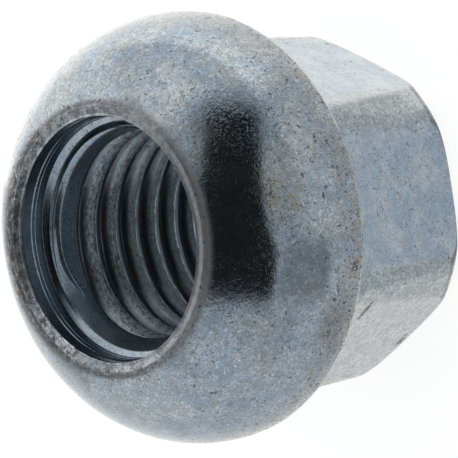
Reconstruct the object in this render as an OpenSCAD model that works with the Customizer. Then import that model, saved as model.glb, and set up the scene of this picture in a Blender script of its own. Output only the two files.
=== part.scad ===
// Open lug nut with a ball seat.
// One forged and turned piece: a hexagonal shank, a round collar whose front is the curved
// seat, and a bore right through. The bore is drawn at the crests of its thread.
// Millimetres. The nut stands on the end of its hexagon, +Z runs up the bore to the seat,
// and the origin is the middle of that end.

/* [Thread] */
// Nominal (major) diameter of the thread
thread_d = 12; // [10:0.5:13]
// Pitch of the thread
thread_pitch = 1.5; // [1:0.25:1.75]
// How far the crests lie outside the thread's basic minor radius
crest_allowance = 0.14; // [0:0.02:0.2]
// How far the relief at the seat end lies outside the thread's major radius
relief_margin = 0.25; // [0.1:0.05:0.5]
// Depth of the relief, from the lip to the lead-in cone
relief_depth = 1.6; // [0.5:0.1:2]
// Half angle of the lead-in cone below the relief
lead_in_half_angle = 60; // [30:1:70]
// How far the countersink at the hexagon end lies outside the thread's major radius
countersink_margin = 0.2; // [0.1:0.05:0.4]
// Half angle of the countersink at the hexagon end
countersink_half_angle = 45; // [30:1:60]

/* [Hexagon] */
// Width across the flats
hex_across_flats = 17; // [16:0.5:19]
// How far the corners are turned down from a sharp hexagon, on the radius, at the end
corner_cut = 0.48; // [0.2:0.02:0.8]
// Draft of the turned corners: they widen towards the collar
corner_draft = 2.6; // [0:0.1:3]
// Diameter of the flat ring on the end
end_face_d = 14.5; // [13.6:0.1:15.5]
// Slope of the cone that backs the end off from that ring
end_cone_angle = 15; // [8:1:30]
// Radius of the rounded edge between that cone and the turned corners
end_edge_r = 1; // [0.5:0.1:1.5]

/* [Collar] */
// Height of the whole nut
total_h = 17.8; // [15:0.1:25]
// Largest diameter of the collar
collar_d = 22.4; // [21:0.1:25]
// Radius of the arc that forms the ball seat
seat_arc_r = 6.4; // [6:0.1:7.5]
// Width of the raised lip between the relief and the seat
lip_w = 0.6; // [0.4:0.05:1]
// How far the lip stands above the seat; its edges are rounded with the same radius
lip_rise = 0.13; // [0.08:0.01:0.18]
// Radius of the rounded rim at the back of the collar
rim_r = 0.5; // [0.2:0.05:0.8]
// Angle from the axis at which the seat arc passes into that rim
rim_angle = 95.5; // [92:0.5:105]
// Radius of the hollow curve from the flats up to the rim
cove_r = 4; // [3:0.1:5]

/* [Hidden] */
$fn = 96;

// Reach of the cutting shapes past the faces that they cut
overrun = 1;
// How far inside the flats the cove runs out, so that it leaves them along a clean line
cove_inset = 0.1;

// Basic thread form: the minor radius lies this share of the pitch inside the major radius
minor_depth_ratio = 5 * sqrt(3) / 16;
thread_major_r = thread_d / 2;
bore_r = thread_major_r - minor_depth_ratio * thread_pitch + crest_allowance;

// Seat end of the bore: relief, lead-in cone and the lip round them
relief_r = thread_major_r + relief_margin;
relief_h = total_h - relief_depth;
lead_in_h = relief_h - (relief_r - bore_r) / tan(lead_in_half_angle);
lip_outer_r = relief_r + lip_w;
lip_middle_r = relief_r + lip_w / 2;
lip_foot_h = total_h - lip_rise;

// Hexagon end of the bore
countersink_r = thread_major_r + countersink_margin;
countersink_h = (countersink_r - bore_r) / tan(countersink_half_angle);

// Hexagon: apothem, reach of a sharp corner, and the turned corner at the end
flat_r = hex_across_flats / 2;
sharp_corner_r = flat_r / cos(30);
turned_r = sharp_corner_r - corner_cut;

// End of the hexagon: centre of the rounded edge, and where the cone runs into it
end_edge_centre_r = turned_r - end_edge_r;
end_cone_r = end_edge_centre_r + end_edge_r * sin(end_cone_angle);
end_cone_h = (end_cone_r - end_face_d / 2) * tan(end_cone_angle);
end_edge_centre_h = end_cone_h + end_edge_r * cos(end_cone_angle);

// Seat arc: as wide as the collar, and it meets the lip at the lip's foot
seat_centre_r = collar_d / 2 - seat_arc_r;
lip_offset = lip_outer_r - seat_centre_r;
seat_centre = [seat_centre_r, lip_foot_h - sqrt(seat_arc_r * seat_arc_r - lip_offset * lip_offset)];

// Rim: a round that touches the seat arc from inside
rim_centre = seat_centre + (seat_arc_r - rim_r) * [sin(rim_angle), cos(rim_angle)];

// Cove: a hollow round that runs out just inside the flats and touches the rim
cove_centre_r = flat_r - cove_inset + cove_r;
cove_reach = cove_r + rim_r;
cove_offset = cove_centre_r - rim_centre[0];
cove_centre = [cove_centre_r, rim_centre[1] - sqrt(cove_reach * cove_reach - cove_offset * cove_offset)];

// Half section of the turned envelope: flat ring, slight cone, rounded edge, drafted corners
module turned_section() {
    polygon([
        [0, 0],
        [end_face_d / 2, 0],
        [end_cone_r, end_cone_h],
        [end_edge_centre_r, end_edge_centre_h],
        [turned_r, end_edge_centre_h],
        [turned_r + (seat_centre[1] - end_edge_centre_h) * tan(corner_draft), seat_centre[1]],
        [0, seat_centre[1]]
    ]);
    translate([end_edge_centre_r, end_edge_centre_h]) circle(r = end_edge_r);
}

// Half section of the collar: seat arc, raised lip, relief, rim and the cove behind it
module collar_section() {
    difference() {
        union() {
            intersection() {
                translate(seat_centre) circle(r = seat_arc_r);
                polygon([
                    rim_centre,
                    seat_centre + 2 * (rim_centre - seat_centre),
                    [2 * collar_d, total_h],
                    [lip_middle_r, total_h],
                    [lip_middle_r, lip_foot_h]
                ]);
            }
            translate([relief_r + lip_rise, lip_foot_h]) circle(r = lip_rise);
            translate([lip_outer_r - lip_rise, lip_foot_h]) circle(r = lip_rise);
            translate(rim_centre) circle(r = rim_r);
            polygon([
                [0, cove_centre[1]],
                cove_centre,
                rim_centre,
                [lip_outer_r - lip_rise, lip_foot_h],
                [lip_outer_r - lip_rise, total_h],
                [relief_r + lip_rise, total_h],
                [relief_r + lip_rise, lip_foot_h],
                [relief_r, lip_foot_h],
                [relief_r, relief_h],
                [bore_r, lead_in_h],
                [0, lead_in_h]
            ]);
        }
        translate(cove_centre) circle(r = cove_r);
    }
}

// Half section of the plain bore and its countersink
module bore_section() {
    polygon([
        [0, -overrun],
        [countersink_r + overrun * tan(countersink_half_angle), -overrun],
        [bore_r, countersink_h],
        [bore_r, total_h + overrun],
        [0, total_h + overrun]
    ]);
}

// Hexagonal shank: a hexagon with one corner on +Y, inside the turned envelope
module shank() {
    intersection() {
        rotate(30) cylinder(r = sharp_corner_r, h = seat_centre[1], $fn = 6);
        rotate_extrude() turned_section();
    }
}

// The whole nut
module lug_nut() {
    color([0.62, 0.66, 0.7])
        difference() {
            union() {
                shank();
                rotate_extrude() collar_section();
            }
            rotate_extrude() bore_section();
        }
}

lug_nut();
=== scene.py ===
"""Looks of the lug nut: one closed mesh with the helical thread, zinc plating, studio and camera.

Lengths are in millimetres up to the mesh's vertices, which are in metres. The frame is the part's:
the nut stands on the end of its hexagon at z = 0 and +Z runs up the bore to the ball seat.
"""
import math

import bpy
import numpy as np
from mathutils import Matrix, Vector


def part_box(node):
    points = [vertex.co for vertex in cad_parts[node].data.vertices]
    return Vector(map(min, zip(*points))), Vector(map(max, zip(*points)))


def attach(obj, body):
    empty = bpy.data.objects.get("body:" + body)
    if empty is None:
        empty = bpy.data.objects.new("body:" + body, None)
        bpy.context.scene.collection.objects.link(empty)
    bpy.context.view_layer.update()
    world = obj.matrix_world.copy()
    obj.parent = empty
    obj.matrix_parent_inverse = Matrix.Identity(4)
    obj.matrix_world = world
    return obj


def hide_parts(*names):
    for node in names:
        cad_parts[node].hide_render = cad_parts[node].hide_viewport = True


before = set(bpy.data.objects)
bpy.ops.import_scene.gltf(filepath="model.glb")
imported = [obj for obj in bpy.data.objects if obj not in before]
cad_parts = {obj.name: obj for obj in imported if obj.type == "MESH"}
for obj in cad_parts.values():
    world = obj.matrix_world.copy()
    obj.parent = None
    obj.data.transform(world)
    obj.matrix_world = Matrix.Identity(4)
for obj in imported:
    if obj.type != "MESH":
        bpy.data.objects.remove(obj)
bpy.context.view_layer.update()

MM = 0.001

# Sizes that the solid gives
_, node_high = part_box("lug_nut")
TOTAL_H = node_high[2] / MM
COLLAR_R = node_high[0] / MM

# Sizes repeated from the part's source
THREAD_MAJOR_R = 6.0
THREAD_PITCH = 1.5
BORE_R = 5.328
RELIEF_R = 6.25
RELIEF_DEPTH = 1.6
LEAD_IN_SLOPE = math.tan(math.radians(60))
COUNTERSINK_R = 6.2
FLAT_R = 8.5
TURNED_R = 9.335
CORNER_DRAFT = math.tan(math.radians(2.6))
END_FACE_R = 7.25
END_CONE_ANGLE = math.radians(15)
END_EDGE_R = 1.0
SEAT_ARC_R = 6.4
LIP_W = 0.6
LIP_RISE = 0.13
RIM_R = 0.5
RIM_ANGLE = math.radians(95.5)
COVE_R = 4.0
COVE_INSET = 0.1

# Thread: height of a crest's lower edge opposite +X, and the land on the crests, wider in the first turns
THREAD_EDGE_Z = 14.60
FLANK_SLOPE = math.tan(math.radians(60))
LAND_TURNS = (-0.25, -0.05, 0.35, 1.0, 2.0, 3.0, 5.0)
LAND_WIDTHS = (1.34, 1.10, 0.95, 0.46, 0.34, 0.29, 0.26)
LAND_SLOPE = math.tan(math.radians(29))
LAND_EASE = 0.20
CREST_ROUND = 0.05

# Cone that cuts back the first crest below the lead-in, longer on the -Y side
FIRST_CREST_R = 5.87
FIRST_CREST_SLOPE = math.tan(math.radians(28))
FIRST_CREST_DEPTH = 0.35
FIRST_CREST_EXTRA = 0.75

# Steps that the tool left in the relief: depth below the lip and width
TOOL_MARKS = ((0.84, 0.05), (1.08, 0.02))
TOOL_MARK_SLOPE = math.tan(math.radians(60))

# Dip of the lip towards the bore, and the crease at its foot, wider and deeper on the -X side
LIP_DISH = 0.18
LIP_CREASE = 0.03
CREASE_W = 0.30
CREASE_UNEVEN = 1.60
CREASE_FAINT = 0.15
# Reach of the lip's painted shade onto the seat on the +X side
LIP_SHADE_REACH = 0.5

# Softness of edges, and the unevenness of the forging
CORNER_SOFTNESS = 0.04
COVE_SOFTNESS = 0.12
LEAD_IN_SOFTNESS = 0.03
FORGING_WAVE = 0.012
FORGING_WAVES = 14
FORGING_SEED = 7

# How far the marks of the hexagon reach up the cove
HEXAGON_MARKS_RISE = 2.6

# Mesh density: columns round the axis, rows in each stretch of the section, steps of rows in the bore
COLUMNS = 256
LIP_ROWS = 20
SEAT_ROWS = 58
SEAT_ROW_BIAS = 1.25
RIM_ROWS = 14
COVE_ROWS = 22
SHANK_ROWS = 14
END_EDGE_ROWS = 18
END_CONE_ROWS = 7
END_FACE_ROWS = 5
ROW_STEP = 0.094
FINE_ROW_STEP = 0.038
FINE_ROWS_DEPTH = 1.75
FINE_ROWS_MARGIN = 0.02
RELIEF_ROW_GAP = 0.015
MARK_ROW_GAP = 0.03
LIP_ROW_GAP = 0.02

# Derived places, the same as in the part's source
seat_r = COLLAR_R - SEAT_ARC_R
lip_outer_r = RELIEF_R + LIP_W
seat_z = TOTAL_H - LIP_RISE - math.sqrt(SEAT_ARC_R ** 2 - (lip_outer_r - seat_r) ** 2)
seat_end = math.pi / 2 - RIM_ANGLE
rim_r = seat_r + (SEAT_ARC_R - RIM_R) * math.sin(RIM_ANGLE)
rim_z = seat_z + (SEAT_ARC_R - RIM_R) * math.cos(RIM_ANGLE)
cove_centre_r = FLAT_R - COVE_INSET + COVE_R
cove_z = rim_z - math.sqrt((COVE_R + RIM_R) ** 2 - (cove_centre_r - rim_r) ** 2)
end_edge_r = TURNED_R - END_EDGE_R
end_cone_r = end_edge_r + END_EDGE_R * math.sin(END_CONE_ANGLE)
end_cone_z = (end_cone_r - END_FACE_R) * math.tan(END_CONE_ANGLE)
end_edge_z = end_cone_z + END_EDGE_R * math.cos(END_CONE_ANGLE)
relief_z = TOTAL_H - RELIEF_DEPTH
relief_low_r = RELIEF_R - sum(step for _, step in TOOL_MARKS)
first_crest_z = relief_z - (relief_low_r - FIRST_CREST_R) / LEAD_IN_SLOPE


def smooth_step(value, low, high):
    """0 below low, 1 above high, smooth between them."""
    share = np.clip((value - low) / (high - low), 0, 1)
    return share * share * (3 - 2 * share)


def smooth_min(a, b, softness):
    """Lesser of two radii, with the corner between them eased."""
    return (a + b - np.sqrt((a - b) ** 2 + softness ** 2)) / 2


def smooth_max(a, b, softness):
    """Greater of two radii, with the corner between them eased."""
    return (a + b + np.sqrt((a - b) ** 2 + softness ** 2)) / 2


# Values for every column: angle from +X, angle from the middle of the nearest flat, share of the way
# to -X, and the width and depth of the crease at the lip's foot
angles = np.arange(COLUMNS) * 2 * math.pi / COLUMNS
from_flat = (angles + math.pi / 6) % (math.pi / 3) - math.pi / 6
far_side = (1 - np.cos(angles)) / 2
crease_w = CREASE_W + CREASE_UNEVEN * far_side ** 5
crease_depth = CREASE_FAINT + (1 - CREASE_FAINT) * far_side


def waves(x, y, z, seed):
    """Slow irregular waves between about -1 and 1, the unevenness of a forging."""
    rng = np.random.default_rng(seed)
    total = np.zeros(np.broadcast(x, y, z).shape)
    for _ in range(FORGING_WAVES):
        direction = rng.normal(size=3)
        direction *= rng.uniform(0.7, 2.4) / np.linalg.norm(direction)
        total = total + np.sin(direction[0] * x + direction[1] * y + direction[2] * z + rng.uniform(0, 6.3))
    return total / 5


def hexagon_radius(z):
    """Radius of the hexagon with its turned corners at height z, for every column."""
    flat = FLAT_R / np.cos(from_flat)
    turned = TURNED_R + (z - end_edge_z) * CORNER_DRAFT
    return smooth_min(flat, turned, CORNER_SOFTNESS)


def thread_wall(z):
    """Right-hand internal thread at height z, for every column.

    Gives the radius, the rise above the crest's lower edge, the rise past its land and the turn number.
    """
    turns = (z - THREAD_EDGE_Z) / THREAD_PITCH - (angles - math.pi) / (2 * math.pi)
    rise = turns % 1.0 * THREAD_PITCH
    turn_number = (THREAD_EDGE_Z - z + rise) / THREAD_PITCH
    land = np.interp(turn_number, LAND_TURNS, LAND_WIDTHS)
    slope = LAND_SLOPE * (0.25 + 0.75 * smooth_step(turn_number, 0.25, 0.90))
    upper = smooth_max(slope * rise, slope * land + FLANK_SLOPE * (rise - land), LAND_EASE)
    lower = FLANK_SLOPE * (THREAD_PITCH - rise)
    radius = smooth_min(BORE_R + np.minimum(upper, lower), THREAD_MAJOR_R, CREST_ROUND)
    first_crest = FIRST_CREST_R - (first_crest_z - z) * FIRST_CREST_SLOPE
    crest_end = first_crest_z - FIRST_CREST_DEPTH - FIRST_CREST_EXTRA * smooth_step(-np.sin(angles), 0.1, 0.8)
    first_cut = BORE_R + (first_crest - BORE_R) * smooth_step(z - crest_end, -0.15, 0.0)
    return smooth_max(radius, first_cut, CREST_ROUND), rise, rise - land, turn_number


rows = []


def add_row(radius, height, **zones):
    """One ring of the skin; zones are the strengths of its surface marks, 0 to 1."""
    rows.append((radius, height, zones))


def add_lip():
    """Low bead that dips towards the bore, with a crease at its foot."""
    for share in np.linspace(0, 1, LIP_ROWS):
        inner = max(1 - share * LIP_W / LIP_RISE, 0)
        outer = max(1 - (1 - share) * LIP_W / LIP_RISE, 0)
        edge_drop = LIP_RISE * (2 - math.sqrt(1 - inner ** 2) - math.sqrt(1 - outer ** 2))
        dish = LIP_DISH * (1 - share) * (1 - inner)
        foot = crease_depth * smooth_step(share, 0.75, 1)
        # Painted shade: the crease's dark colour carried onto the lip on the -X side
        lip_far_shade = 0.8 * far_side ** 6 * smooth_step(share, 0.1, 0.45)
        # lip_shade is painted shade on the lip, darkest on the +X side
        add_row(RELIEF_R + share * LIP_W, TOTAL_H - edge_drop - dish, lip=1, collar=1,
                lip_shade=(1 - far_side) ** 2, crease=np.maximum(foot, lip_far_shade))


def add_seat():
    """Arc of the ball seat from the lip's foot to the rim, with closer rows near the lip."""
    lip_turn = math.acos((lip_outer_r - seat_r) / SEAT_ARC_R)
    for turn in lip_turn + (seat_end - lip_turn) * np.linspace(0, 1, SEAT_ROWS)[1:] ** SEAT_ROW_BIAS:
        radius = seat_r + SEAT_ARC_R * math.cos(turn)
        from_lip = radius - lip_outer_r
        near_lip = crease_depth * (1 - smooth_step(from_lip / crease_w, 0.25, 1.0))
        # Painted shade from the lip onto the seat, on the +X side
        seat_lip_shade = (1 - far_side) ** 3 * (1 - smooth_step(from_lip / LIP_SHADE_REACH, 0.2, 1.0))
        add_row(radius, seat_z + SEAT_ARC_R * math.sin(turn) - LIP_CREASE * near_lip, collar=1,
                crease=near_lip, lip_shade=seat_lip_shade, rim=smooth_step(-turn, -seat_end - 0.55, -seat_end))


def add_rim_and_cove():
    """Rounded rim at the back of the collar, then the hollow curve down to the flats."""
    cove_turn = math.atan2(rim_z - cove_z, rim_r - cove_centre_r)
    for turn in np.linspace(seat_end, cove_turn - math.pi, RIM_ROWS)[1:]:
        add_row(rim_r + RIM_R * math.cos(turn), rim_z + RIM_R * math.sin(turn), rim=1, rim_line=1, collar=1)
    for turn in np.linspace(cove_turn, math.pi, COVE_ROWS)[1:-1]:
        cove = cove_centre_r + COVE_R * math.cos(turn)
        height = cove_z + COVE_R * math.sin(turn)
        add_row(smooth_max(cove, hexagon_radius(height), COVE_SOFTNESS), height,
                rim=smooth_step(cove_turn - turn, -0.3, 0.0))


def add_shank_and_end():
    """Flats and turned corners, then the rounded end edge, the cone and the flat ring."""
    for height in np.linspace(cove_z, end_edge_z, SHANK_ROWS):
        add_row(hexagon_radius(height), height)
    end_hexagon = hexagon_radius(end_edge_z)
    for turn in np.linspace(0, math.pi / 2 - END_CONE_ANGLE, END_EDGE_ROWS)[1:]:
        round_r = end_edge_r + END_EDGE_R * math.cos(turn)
        add_row(smooth_min(end_hexagon, round_r, CORNER_SOFTNESS), end_edge_z - END_EDGE_R * math.sin(turn),
                edge=smooth_step(end_hexagon - round_r, -0.15, 0.05))
    for share in np.linspace(0, 1, END_CONE_ROWS)[1:]:
        add_row(end_cone_r + share * (END_FACE_R - end_cone_r), end_cone_z * (1 - share), edge=1 - share)
    for radius in np.linspace(END_FACE_R, COUNTERSINK_R, END_FACE_ROWS)[1:]:
        add_row(radius, 0.0)


def add_bore():
    """Countersink, thread and lead-in cone, up to the relief."""
    fine_z = relief_z - FINE_ROWS_DEPTH
    coarse_rows = np.arange(ROW_STEP, fine_z, ROW_STEP)
    fine_rows = np.arange(fine_z, relief_z - FINE_ROWS_MARGIN, FINE_ROW_STEP)
    above = smooth_step(np.sin(angles), 0.3, 0.95)
    below = 0.7 * smooth_step(-np.sin(angles), 0.15, 0.6)
    for height in [*coarse_rows, *fine_rows, relief_z - RELIEF_ROW_GAP, relief_z]:
        countersink = COUNTERSINK_R - height
        lead_in = relief_low_r - (relief_z - height) * LEAD_IN_SLOPE
        thread, rise, past_land, turn_number = thread_wall(height)
        threaded = smooth_step(thread - countersink, -0.03, 0.0) * smooth_step(turn_number, 0.45, 0.85)
        in_groove = smooth_step(past_land, 0.0, 0.1)
        # Painted shade in the grooves, on the -X side only
        grime = smooth_step(past_land, 0.02, 0.20) * smooth_step(far_side, 0.45, 0.80)

        # Dull plating on the lands, more of it towards +Y and -Y
        dulled = smooth_step(thread - np.maximum(countersink, lead_in), -0.03, 0.02) * (1 - in_groove)
        dulled = dulled * smooth_step(turn_number, -0.6, -0.3)
        full_turn = smooth_step(turn_number, 0.4, 0.8)
        least = 0.1 + 0.3 * (1 - full_turn)
        dulled = dulled * (least + (1 - least) * np.maximum(above, below * full_turn))

        # Painted shade: a dark line along the edge of the first crest
        crest_edge = np.maximum(1 - smooth_step(rise, 0.04, 0.14),
                                smooth_step(rise, THREAD_PITCH - 0.2, THREAD_PITCH - 0.05))
        crest_edge = crest_edge * smooth_step(-np.abs(turn_number - 0.05), -0.6, -0.4)
        wall = smooth_max(np.maximum(thread, countersink), lead_in, LEAD_IN_SOFTNESS)
        add_row(wall, height, bore=1, thread=threaded, groove=threaded * in_groove, dulled=dulled,
                crest_edge=crest_edge, deep=smooth_step(turn_number, 1.5, 3.0), grime=threaded * grime)


def add_relief():
    """Wall of the relief with the tool's steps, up to the lip."""
    radius = relief_low_r
    add_row(radius, relief_z + RELIEF_ROW_GAP, bore=1)
    for depth, step in reversed(TOOL_MARKS):
        mark_top = TOTAL_H - depth
        mark_low = mark_top - step / TOOL_MARK_SLOPE
        add_row(radius, mark_low - MARK_ROW_GAP, bore=1)
        add_row(radius, mark_low, bore=1)
        radius += step
        add_row(radius, mark_top, bore=1)
        add_row(radius, mark_top + MARK_ROW_GAP, bore=1)
    add_row(RELIEF_R, TOTAL_H - LIP_DISH - LIP_RISE - LIP_ROW_GAP, bore=1)


def row_grid(values):
    """One line of the grid for each row, one column for each angle."""
    return np.array([np.broadcast_to(value, COLUMNS) for value in values], dtype=float)


# The section runs from the mouth over the seat, down the outside and back up the bore
add_lip()
add_seat()
add_rim_and_cove()
add_shank_and_end()
add_bore()
add_relief()
radii = row_grid(radius for radius, _, _ in rows)
heights = row_grid(height for _, height, _ in rows)
zone_names = sorted({name for _, _, zones in rows for name in zones})
zone = {name: row_grid(zones.get(name, 0.0) for _, _, zones in rows) for name in zone_names}
zone["helix"] = (heights - THREAD_PITCH * angles / (2 * math.pi)) * zone["bore"]

# Marks of the hexagon: its turned corners, and the flat that faces 60 degrees from +X towards -Y
below_collar = smooth_step(cove_z + HEXAGON_MARKS_RISE - heights, 0.0, 1.5) * (1 - zone["bore"])
zone["corner"] = smooth_step(hexagon_radius(end_edge_z), TURNED_R - 0.22, TURNED_R - 0.06) * below_collar
from_low_flat = np.abs((angles + math.pi / 3 + math.pi) % (2 * math.pi) - math.pi)
zone["low_flat"] = (1 - smooth_step(from_low_flat, math.radians(24), math.radians(30))) * below_collar

# Unevenness of the forging, not on the end face that the nut stands on
calm = smooth_step(heights, 0.3, 1.5) * (1 - zone["bore"]) * smooth_step(TOTAL_H - heights, 0.0, 0.4)
unevenness = waves(radii * np.cos(angles), radii * np.sin(angles), heights, FORGING_SEED)
radii = radii + FORGING_WAVE * calm * np.minimum(unevenness, 0.0)

# Closed mesh: both the rows and the columns run round
index = np.arange(len(rows) * COLUMNS).reshape(len(rows), COLUMNS)
next_row = np.roll(index, -1, axis=0)
next_column = np.roll(index, -1, axis=1)
next_both = np.roll(next_row, -1, axis=1)
faces = np.stack([index, next_row, next_both, next_column], axis=-1).reshape(-1, 4)
points = np.stack([radii * np.cos(angles), radii * np.sin(angles), heights], axis=-1).reshape(-1, 3) * MM

mesh = bpy.data.meshes.new("lug_nut_skin")
mesh.from_pydata(points.tolist(), [], faces.tolist())
mesh.validate()
for name, values in zone.items():
    layer = mesh.attributes.new(name, "FLOAT", "POINT")
    layer.data.foreach_set("value", values.ravel().astype(np.float32))
mesh.polygons.foreach_set("use_smooth", [True] * len(mesh.polygons))
skin = bpy.data.objects.new("lug_nut_skin", mesh)
bpy.context.collection.objects.link(skin)


class Nodes:
    """Adds nodes to one empty tree; a value is a number, a colour or another node's socket."""

    def __init__(self, owner):
        owner.use_nodes = True
        self.tree = owner.node_tree
        self.tree.nodes.clear()

    def add(self, kind, inputs=None, **settings):
        made = self.tree.nodes.new(kind)
        for key, value in settings.items():
            setattr(made, key, value)
        for key, value in (inputs or {}).items():
            if isinstance(value, bpy.types.NodeSocket):
                self.tree.links.new(value, made.inputs[key])
            else:
                made.inputs[key].default_value = value
        return made

    def math(self, operation, a, b=0.0):
        return self.add("ShaderNodeMath", {0: a, 1: b}, operation=operation).outputs[0]

    def times(self, a, b):
        return self.math("MULTIPLY", a, b)

    def plus(self, a, b):
        return self.math("ADD", a, b)

    def minus(self, a, b):
        return self.math("SUBTRACT", a, b)

    def most(self, a, b):
        return self.math("MAXIMUM", a, b)

    def scaled(self, value, factor, offset):
        """The value times a factor, plus an offset."""
        return self.plus(self.times(value, factor), offset)

    def without(self, where, strength=1.0):
        """1 outside a mask, less by the strength inside it."""
        return self.minus(1.0, self.times(where, strength))

    def ramp(self, value, low, high):
        """0 at low, 1 at high, smooth between them; low may be the greater."""
        return self.add("ShaderNodeMapRange", {"Value": value, "From Min": low, "From Max": high},
                        interpolation_type="SMOOTHSTEP").outputs["Result"]

    def seen_rays(self):
        """1 for rays from the camera and for rays in reflections or through glass."""
        path = self.add("ShaderNodeLightPath").outputs
        return self.most(self.most(path["Is Camera Ray"], path["Is Glossy Ray"]), path["Is Transmission Ray"])


# Colours of the plating and of what lies on it
BLUE_GREY = (0.247, 0.326, 0.412, 1)
PALE_BLUE_GREY = (0.342, 0.400, 0.450, 1)
STRAW = (0.420, 0.418, 0.385, 1)
CORNER_GREY = (0.405, 0.440, 0.440, 1)
MOTTLE_GREY = (0.175, 0.205, 0.230, 1)
GRAIN_GREY = (0.150, 0.180, 0.205, 1)
FLECK_GREY = (0.530, 0.565, 0.590, 1)
SCORE_GREY = (0.130, 0.142, 0.158, 1)
SCRATCH_BLACK = (0.080, 0.080, 0.080, 1)
STAIN_BROWN = (0.260, 0.235, 0.195, 1)
BLOOM_BROWN = (0.215, 0.195, 0.180, 1)
RIM_TAN = (0.430, 0.410, 0.385, 1)
LIP_GREY = (0.415, 0.465, 0.510, 1)
LIP_BLOTCH = (0.062, 0.068, 0.074, 1)
LIP_SHADE = (0.190, 0.198, 0.210, 1)
CRUMB_GREY = (0.680, 0.720, 0.760, 1)
PALE_SEAT = (0.560, 0.565, 0.560, 1)
BRINK_BROWN = (0.075, 0.068, 0.060, 1)
SPECK_BLACK = (0.040, 0.042, 0.045, 1)
DIRT_AND_SHADE_BLACK = (0.036, 0.033, 0.030, 1)
BORE_BLUE = (0.090, 0.120, 0.155, 1)
LAND_BRIGHT = (0.780, 0.910, 0.970, 1)
LINE_GREY = (0.110, 0.125, 0.145, 1)
TEAR_BLACK = (0.036, 0.044, 0.052, 1)
CREST_EDGE_SHADE_BLACK = (0.045, 0.055, 0.065, 1)
GROOVE_SHADE_BLACK = (0.040, 0.050, 0.062, 1)

# Single places on the nut: x, y, z and reach; a spot is full within a share of its reach
SPOT_CORE = 0.3
STAIN = (10.05, 0.8, 15.1, 1.7)
SCUFF = (7.9, 5.9, 15.5, 2.2)
FAINT_SCUFF = (8.4, 4.2, 16.0, 2.2)
PALE_PATCH = (4.6, 6.5, 17.2, 2.4)
CRUMBS = (-4.9, -4.4, 17.7, 3.4)
RIM_PIT = (10.74, -3.16, 11.46, 0.42)
CORNER_PIT = (1.99, 8.66, 1.06, 0.16)
GOUGE = ((6.80, -5.89, 7.27, 0.18), (7.02, -5.77, 7.29, 0.24), (7.26, -5.63, 7.35, 0.30),
         (7.50, -5.49, 7.38, 0.32), (7.74, -5.35, 7.43, 0.28), (8.00, -5.19, 7.46, 0.20))
NICK = ((3.66, -7.70, 0.76, 0.34), (3.93, -7.55, 0.80, 0.27), (4.25, -7.36, 0.85, 0.20))

# Direction along the lower flat, square to the axis
LOW_FLAT_ALONG = (0.866, 0.5, 0)


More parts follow.
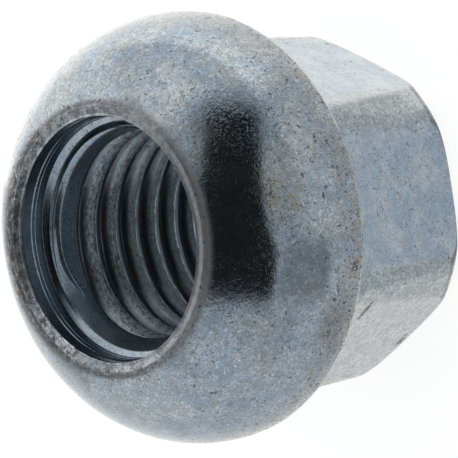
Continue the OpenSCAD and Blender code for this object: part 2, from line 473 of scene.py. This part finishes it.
class Plating(Nodes):
    """Blue-passivated zinc over forged steel: mottled, specked, browned along worn edges.

    Each step lays colours over the colour so far, and keeps the masks that later steps need.
    """

    def __init__(self, owner):
        super().__init__(owner)
        self.place = self.add("ShaderNodeTexCoord").outputs["Object"]
        self.sides = self.add("ShaderNodeSeparateXYZ", {0: self.place}).outputs
        self.collar = self.mark("collar")
        self.corner = self.mark("corner")
        self.low_flat = self.mark("low_flat")
        self.lip = self.mark("lip")
        self.lip_shade = self.mark("lip_shade")
        self.crease = self.mark("crease")
        self.edge = self.mark("edge")
        self.bore = self.mark("bore")
        self.thread = self.mark("thread")
        self.helix = self.mark("helix")
        self.land = self.minus(self.thread, self.mark("groove"))
        self.grain = self.ramp(self.noise(7000.0, 4.0, 0.7), 0.39, 0.61)
        self.colour = self.mix(self.ramp(self.noise(600.0, 2.0), 0.36, 0.64), BLUE_GREY, PALE_BLUE_GREY)

    def build(self):
        """Runs the steps in order and ends with the shader."""
        self.mottle()
        self.score_low_flat()
        self.scratch_and_stain()
        self.wear()
        self.colour_lip()
        self.speck()
        self.soil_and_shade_crease()
        self.colour_bore()
        self.shade()

    def mark(self, name):
        return self.add("ShaderNodeAttribute", attribute_name=name).outputs["Fac"]

    def mix(self, share, a, b):
        return self.add("ShaderNodeMix", {0: share, 6: a, 7: b}, data_type="RGBA").outputs[2]

    def lay(self, where, strength, tint):
        """Lays a tint over the colour, at a strength where the mask is 1."""
        self.colour = self.mix(self.times(where, strength), self.colour, tint)

    def noise(self, scale, detail=3.0, roughness=0.55):
        return self.stretched_noise(self.place, scale, detail, roughness)

    def stretched_noise(self, vector, scale, detail, roughness):
        return self.add("ShaderNodeTexNoise", {"Vector": vector, "Scale": scale, "Detail": detail,
                                               "Roughness": roughness}).outputs["Fac"]

    def patches(self, where, low, high, scale, detail=3.0, roughness=0.55):
        """A mask broken up into patches by a noise."""
        return self.times(where, self.ramp(self.noise(scale, detail, roughness), low, high))

    def spot(self, spot):
        """1 at a place, 0 beyond its reach."""
        x, y, z, reach = spot
        away = self.add("ShaderNodeVectorMath", {0: self.place, 1: (x * MM, y * MM, z * MM)},
                        operation="DISTANCE").outputs["Value"]
        return self.ramp(away, reach * MM, reach * MM * SPOT_CORE)

    def mottle(self):
        """Cloudy plating with straw-coloured patches on the collar, a fine grain and light flecks."""
        straw = self.patches(self.collar, 0.44, 0.66, 650.0, 2.0)
        towards_y = self.ramp(self.sides["Y"], -4 * MM, 4 * MM)
        self.lay(self.times(straw, self.scaled(towards_y, 0.75, 0.40)), 0.50, STRAW)
        self.lay(self.corner, 0.55, CORNER_GREY)
        speckled = self.most(self.collar, self.most(self.corner, self.low_flat))
        speckled = self.scaled(speckled, 0.48, 0.52)
        self.lay(self.patches(speckled, 0.38, 0.62, 2200.0), 0.50, MOTTLE_GREY)
        self.lay(self.times(self.grain, speckled), 0.62, GRAIN_GREY)
        self.lay(self.patches(speckled, 0.57, 0.69, 5200.0, 3.0, 0.6), 0.55, FLECK_GREY)

    def score_low_flat(self):
        """Short scores on the lower flat, longer along the flat than up it."""
        along = self.add("ShaderNodeVectorMath", {0: self.place, 1: LOW_FLAT_ALONG},
                         operation="DOT_PRODUCT").outputs["Value"]
        stretched = self.add("ShaderNodeCombineXYZ", {0: self.times(along, 1900.0),
                                                      2: self.times(self.sides["Z"], 3400.0)}).outputs[0]
        scores = self.ramp(self.stretched_noise(stretched, 1.0, 5.0, 0.7), 0.46, 0.60)
        self.lay(self.times(self.low_flat, scores), 0.75, SCORE_GREY)

    def scratch_and_stain(self):
        """Short scratches, and the stain beside the scuffed place on the seat."""
        line = self.math("ABSOLUTE", self.minus(self.noise(1500.0, 2.0, 0.5), 0.5))
        self.scratch = self.patches(self.ramp(line, 0.016, 0.004), 0.50, 0.60, 1900.0, 2.0)
        self.lay(self.scratch, 0.60, SCRATCH_BLACK)
        self.stain = self.patches(self.spot(STAIN), 0.40, 0.60, 1500.0, 5.0, 0.7)
        self.lay(self.stain, 0.65, STAIN_BROWN)
        self.scuff = self.most(self.spot(SCUFF), self.times(self.spot(FAINT_SCUFF), 0.5))

    def wear(self):
        """Brown-grey bloom on worn places and in the crease, where it is painted shade on the lip's -X side,
        and tan on the rim.
        """
        worn = self.most(self.times(self.mark("rim"), 0.9), self.edge)
        worn = self.most(worn, self.times(self.corner, 0.15))
        # The crease brings its dirt into this mask, and on the lip's -X side painted shade
        self.worn = self.most(worn, self.most(self.times(self.lip, 0.3), self.crease))
        self.lay(self.patches(self.worn, 0.36, 0.60, 1700.0, 5.0, 0.65), 0.60, BLOOM_BROWN)
        self.lay(self.patches(self.mark("rim_line"), 0.38, 0.60, 2600.0, 4.0), 0.6, RIM_TAN)

    def colour_lip(self):
        """Grey lip with dark blotches and pale crumbs, painted shade on the +X side, where it is also duller,
        and a pale patch beside it.
        """
        self.lay(self.lip, 0.60, LIP_GREY)
        blotch = self.patches(self.lip, 0.45, 0.55, 2300.0, 5.0, 0.75)
        blotch = self.times(blotch, self.scaled(self.crease, 0.25, 0.7))
        self.colour = self.mix(blotch, self.colour, LIP_BLOTCH)
        crumbs = self.times(self.lip, self.spot(CRUMBS))
        self.lay(self.patches(crumbs, 0.47, 0.56, 2600.0, 5.0, 0.75), 0.85, CRUMB_GREY)
        # Painted shade on the +X side of the lip and of the seat beside it
        self.lay(self.lip_shade, 0.85, LIP_SHADE)
        self.lay(self.patches(self.spot(PALE_PATCH), 0.36, 0.60, 2400.0, 4.0, 0.7), 0.45, PALE_SEAT)

    def speck(self):
        """Dark specks, more in patches and where the plating is worn, single pits, and a dark end edge."""
        patch = self.ramp(self.noise(800.0), 0.38, 0.72)
        level = self.plus(self.times(patch, 0.06), self.times(self.most(self.worn, self.stain), 0.06))
        fine = self.ramp(self.plus(self.noise(11000.0, 2.0, 0.5), level), 0.61, 0.71)
        level = self.plus(level, self.times(self.collar, 0.02))
        large = self.ramp(self.plus(self.noise(4500.0, 2.0, 0.5), level), 0.69, 0.76)
        pits = self.times(self.spot(RIM_PIT), self.ramp(self.grain, 0.1, 0.6))
        for pit in (*GOUGE, *NICK, CORNER_PIT):
            pits = self.most(pits, self.spot(pit))
        self.pits = self.times(pits, self.scaled(self.grain, 0.3, 0.7))
        specks = self.most(self.times(fine, 0.60), self.times(large, 0.80))
        self.specks = self.most(specks, self.times(self.pits, 0.9))
        brink = self.times(self.ramp(self.edge, 0.0, 0.2), self.ramp(self.edge, 1.0, 0.6))
        self.lay(brink, 0.6, BRINK_BROWN)
        self.colour = self.mix(self.specks, self.colour, SPECK_BLACK)

    def soil_and_shade_crease(self):
        """Dirt in the crease round the lip, and painted shade where the crease's colour reaches onto the lip
        on the -X side.
        """
        self.dirt_and_shade = self.patches(self.crease, 0.30, 0.56, 3000.0, 5.0, 0.7)
        self.lay(self.dirt_and_shade, 0.90, DIRT_AND_SHADE_BLACK)

    def colour_bore(self):
        """Bright lands with machining lines and tears along the thread, painted shade on the first crest's
        edge and in the grooves on the -X side.
        """
        deep = self.mark("deep")
        self.lay(self.minus(self.bore, self.thread), 0.15, BORE_BLUE)
        self.colour = self.mix(self.times(self.land, self.scaled(deep, 0.45, 0.52)), self.colour, LAND_BRIGHT)
        lines = self.add("ShaderNodeTexNoise", {"W": self.times(self.helix, 14.0), "Scale": 1.0,
                                                "Detail": 3.0}, noise_dimensions="1D").outputs["Fac"]
        self.lay(self.times(self.thread, self.ramp(lines, 0.48, 0.70)), 0.35, LINE_GREY)
        along_thread = self.add("ShaderNodeCombineXYZ", {0: self.times(self.sides["X"], 3600.0),
                                                         1: self.times(self.sides["Y"], 3600.0),
                                                         2: self.times(self.helix, 11.0)}).outputs[0]
        tears = self.ramp(self.stretched_noise(along_thread, 1.0, 4.0, 0.75), 0.45, 0.57)
        torn = self.times(self.times(self.land, tears), self.without(deep, 0.45))
        self.lay(torn, 0.72, TEAR_BLACK)
        # Painted shade along the first crest's edge
        self.lay(self.mark("crest_edge"), 0.85, CREST_EDGE_SHADE_BLACK)
        # Painted shade in the thread's grooves on the -X side
        self.lay(self.mark("grime"), 0.75, GROOVE_SHADE_BLACK)

    def roughness(self):
        """Glossy plating, rougher on specks, wear, the crease's dirt and painted shade, lands and in the
        bore.
        """
        dull = self.patches(self.scuff, 0.54, 0.62, 6500.0, 3.0, 0.6)
        rough = self.scaled(self.grain, 0.05, 0.08)
        for where, more in ((self.bore, 0.12), (self.specks, 0.25), (self.worn, 0.12), (self.dirt_and_shade, 0.30),
                            (self.thread, 0.08), (self.land, 0.16), (self.lip_shade, 0.25), (dull, 0.40)):
            rough = self.plus(rough, self.times(where, more))
        return rough

    def metal(self):
        """Metal, less of it in the crease's dirt and painted shade and in pits, on the dulled lands and on
        the lip's painted shade.
        """
        metal = self.minus(self.without(self.dirt_and_shade, 0.9), self.times(self.mark("dulled"), 0.38))
        metal = self.times(metal, self.without(self.lip_shade, 0.55))
        return self.times(metal, self.without(self.pits, 0.9))

    def bump(self):
        """Fine unevenness, stronger on wear, the scuffed place, the lower flat and the lands."""
        height = self.minus(self.noise(3600.0, 5.0, 0.65), self.times(self.specks, 0.35))
        height = self.minus(height, self.times(self.scratch, 0.25))
        push = self.plus(self.times(self.worn, 0.30), self.times(self.scuff, 0.30))
        push = self.plus(self.plus(push, self.times(self.low_flat, 0.45)), 0.32)
        push = self.times(push, self.scaled(self.without(self.bore), 0.75, 0.25))
        push = self.plus(push, self.times(self.land, 0.45))
        return self.add("ShaderNodeBump", {"Height": height, "Strength": push,
                                           "Distance": 0.03 * MM}).outputs["Normal"]

    def shade(self):
        """Metal under a thin clear passivation, which is gone where the plating is worn or pitted."""
        gloss = self.minus(0.5, self.times(self.most(self.dirt_and_shade, self.pits), 0.4))
        coat = self.times(self.without(self.most(self.worn, self.pits)), 0.3)
        shader = self.add("ShaderNodeBsdfPrincipled", {
            "Base Color": self.colour, "Metallic": self.metal(), "Roughness": self.roughness(),
            "Specular IOR Level": gloss, "Normal": self.bump(),
            "Coat Weight": coat, "Coat Roughness": 0.12, "Coat IOR": 1.6})
        self.add("ShaderNodeOutputMaterial", {"Surface": shader.outputs["BSDF"]})


plating = bpy.data.materials.new("zinc_plated_steel")
Plating(plating).build()
mesh.materials.append(plating)
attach(skin, "root")
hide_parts("lug_nut")

# Camera: above the +X side, rolled so that the bore points to the left of the picture
CAMERA_TILT = 0.7563
CAMERA_ROLL = 0.1485
CAMERA_DISTANCE = 169.5
CAMERA_SHIFT = (1.863, -0.103)
CAMERA_AIM = Vector((0, 0, 11.327))
CAMERA_LENS = 257.2
CAMERA_SENSOR = 36.0
CAMERA_CLIP = (0.01, 20.0)
tilt_s, tilt_c = math.sin(CAMERA_TILT), math.cos(CAMERA_TILT)
roll_s, roll_c = math.sin(CAMERA_ROLL), math.cos(CAMERA_ROLL)
right = Vector((roll_c * tilt_c, -roll_s, -roll_c * tilt_s))
up = Vector((roll_s * tilt_c, roll_c, -roll_s * tilt_s))
back = Vector((tilt_s, 0, tilt_c))
position = (right * CAMERA_SHIFT[0] + up * CAMERA_SHIFT[1] + back * CAMERA_DISTANCE + CAMERA_AIM) * MM
camera_data = bpy.data.cameras.new("camera")
camera_data.lens = CAMERA_LENS
camera_data.sensor_width = CAMERA_SENSOR
camera_data.clip_start, camera_data.clip_end = CAMERA_CLIP
camera = bpy.data.objects.new("camera", camera_data)
bpy.context.collection.objects.link(camera)
camera.matrix_world = Matrix((
    (right.x, up.x, back.x, position.x),
    (right.y, up.y, back.y, position.y),
    (right.z, up.z, back.z, position.z),
    (0, 0, 0, 1)))
bpy.context.scene.camera = camera
bpy.context.scene.view_settings.view_transform = "Standard"

# Stage: pale floor, soft light all round, a dark flag behind the camera, cards beside the nut
FLOOR_HALF = 2000.0
FLOOR_GLOW = 0.85
FLOOR_COLOUR = (0.35, 0.35, 0.35, 1)
WORLD_LIGHT = 0.6
WORLD_SEEN = 1.0
WHITE = (1, 1, 1, 1)
WARM_WHITE = (1.0, 0.97, 0.93, 1)
CARD_LEVEL = 0.02
WEDGE_POINTS = 25


def stage_piece(name, corners, material):
    """A flat stage piece; corners in millimetres."""
    data = bpy.data.meshes.new(name)
    data.from_pydata([tuple(value * MM for value in corner) for corner in corners], [],
                     [tuple(range(len(corners)))])
    data.materials.append(material)
    made = bpy.data.objects.new(name, data)
    bpy.context.collection.objects.link(made)
    return made


def add_floor():
    """Pale floor that reads white to the camera and in reflections, and keeps the shadow."""
    material = bpy.data.materials.new("pale_floor")
    nodes = Nodes(material)
    glow = nodes.times(nodes.seen_rays(), FLOOR_GLOW)
    emission = nodes.add("ShaderNodeEmission", {"Color": WHITE, "Strength": glow}).outputs[0]
    diffuse = nodes.add("ShaderNodeBsdfDiffuse", {"Color": FLOOR_COLOUR}).outputs[0]
    both = nodes.add("ShaderNodeAddShader", {0: emission, 1: diffuse}).outputs[0]
    nodes.add("ShaderNodeOutputMaterial", {"Surface": both})
    signs = ((-1, -1), (1, -1), (1, 1), (-1, 1))
    stage_piece("floor", [(a * FLOOR_HALF, b * FLOOR_HALF, 0) for a, b in signs], material)


def card(name, corners, glow, lights=False, tint=WHITE):
    """A flat card, white at a glow of 1. Reflections see it; a softbox also lights."""
    material = bpy.data.materials.new(name)
    nodes = Nodes(material)
    shine = nodes.add("ShaderNodeEmission", {"Color": tint, "Strength": glow}).outputs[0]
    nodes.add("ShaderNodeOutputMaterial", {"Surface": shine})
    made = stage_piece(name, corners, material)
    made.visible_camera = False
    made.visible_diffuse = lights
    made.visible_shadow = False


def standing(name, turn, distance, half_width, tall, glow, lights=False, tint=WHITE, low=0.0):
    """An upright card from a low to a tall height that faces the nut, in degrees round from +X."""
    facing = Vector((math.cos(math.radians(turn)), math.sin(math.radians(turn)), 0))
    middle = facing * distance + Vector((0, 0, low))
    side = Vector((-facing.y, facing.x, 0)) * half_width
    rise = Vector((0, 0, tall - low))
    card(name, [middle - side, middle + side, middle + side + rise, middle - side + rise], glow, lights, tint)


def wedge(name, start, end, near, far, glow, level=CARD_LEVEL):
    """A card that lies beside the nut, between two directions in degrees round from +X."""
    turns = [math.radians(turn) for turn in np.linspace(start, end, WEDGE_POINTS)]
    inner = [(near * math.cos(turn), near * math.sin(turn), level) for turn in turns]
    outer = [(far * math.cos(turn), far * math.sin(turn), level) for turn in turns]
    card(name, inner + outer[::-1], glow, tint=WARM_WHITE)


# Flags square to the view, their corners to the right and up as shares of their distance
FLAG_DISTANCE = 300.0
DARK_FLAG = ((-2.60, -0.60), (-1.22, -0.60), (-0.38, -0.68), (0.18, -0.84), (0.28, -0.49), (0.28, -0.25),
             (0.18, -0.08), (0.17, 0.08), (0.20, 0.29), (0.33, 0.60), (0.52, 1.01), (0.88, 1.80),
             (0.13, 1.53), (-0.42, 1.46), (-0.70, 0.57), (-0.92, 0.35), (-2.60, 0.35))
SHADE_FLAG = ((0.28, -0.25), (0.50, -0.30), (0.75, 0.11), (0.88, 0.58), (0.95, 1.00), (0.50, 1.01),
              (0.33, 0.60), (0.20, 0.29), (0.17, 0.08), (0.18, -0.08))
LEFT_SHADE_FLAG = ((-0.39, 1.33), (-0.75, 1.30), (-1.00, 0.80), (-1.15, 0.35), (-0.90, 0.35), (-0.67, 0.57))


def flag(name, corners, glow):
    """A card square to the view, farther from the nut than the camera."""
    flag_right = Vector((tilt_c, 0, -tilt_s))
    flag_up = Vector((0, 1, 0))
    card(name, [CAMERA_AIM + FLAG_DISTANCE * (back + a * flag_right + b * flag_up) for a, b in corners], glow)


add_floor()
flag("dark_flag", DARK_FLAG, 0.03)
flag("shade_flag", SHADE_FLAG, 0.73)
flag("left_shade_flag", LEFT_SHADE_FLAG, 0.55)

# Cards on the floor, which the flats and the collar's edge mirror
wedge("bright_card", 31, 178, 7.5, 22.0, 1.5)
wedge("corner_card", 31, 52, 11.0, 22.5, 1.22, level=2 * CARD_LEVEL)
wedge("middle_card", 60, 170, 22.0, 42.0, 1.58)
wedge("far_card", 60, 170, 42.0, 260.0, 1.8)
wedge("low_shade", -58, -40, 19.5, 40.0, 0.70)
wedge("pale_card", -165, -31, 7.5, 19.0, 1.26)

# Soft walls round the nut, and grey cards one before the other, a soft grey patch on the seat
GREY_CARD_TURN = -25
GREY_CARD_DISTANCE = 44
GREY_CARD_GAP = 0.5
GREY_CARDS = ((12.5, 35.0, 0.82), (10.5, 32.0, 0.66), (8.5, 29.0, 0.52))
standing("softbox", 106, 500, 340, 450, 1.22, lights=True)
standing("upper_box", 105, 500, 170, 740, 1.12, low=450)
standing("left_wall", 150, 490, 195, 450, 1.65, tint=WARM_WHITE)
standing("low_box", -98, 505, 190, 690, 1.06)
standing("low_wall", -135, 500, 170, 450, 1.25, tint=WARM_WHITE)
for number, (half_width, tall, glow) in enumerate(GREY_CARDS):
    distance = GREY_CARD_DISTANCE - GREY_CARD_GAP * number
    standing(f"grey_card_{number}", GREY_CARD_TURN, distance, half_width, tall, glow)

world = bpy.data.worlds.new("studio")
bpy.context.scene.world = world
sky = Nodes(world)
strength = sky.add("ShaderNodeMapRange", {"Value": sky.seen_rays(), "To Min": WORLD_LIGHT,
                                          "To Max": WORLD_SEEN}).outputs["Result"]
background = sky.add("ShaderNodeBackground", {"Strength": strength}).outputs[0]
sky.add("ShaderNodeOutputWorld", {"Surface": background})
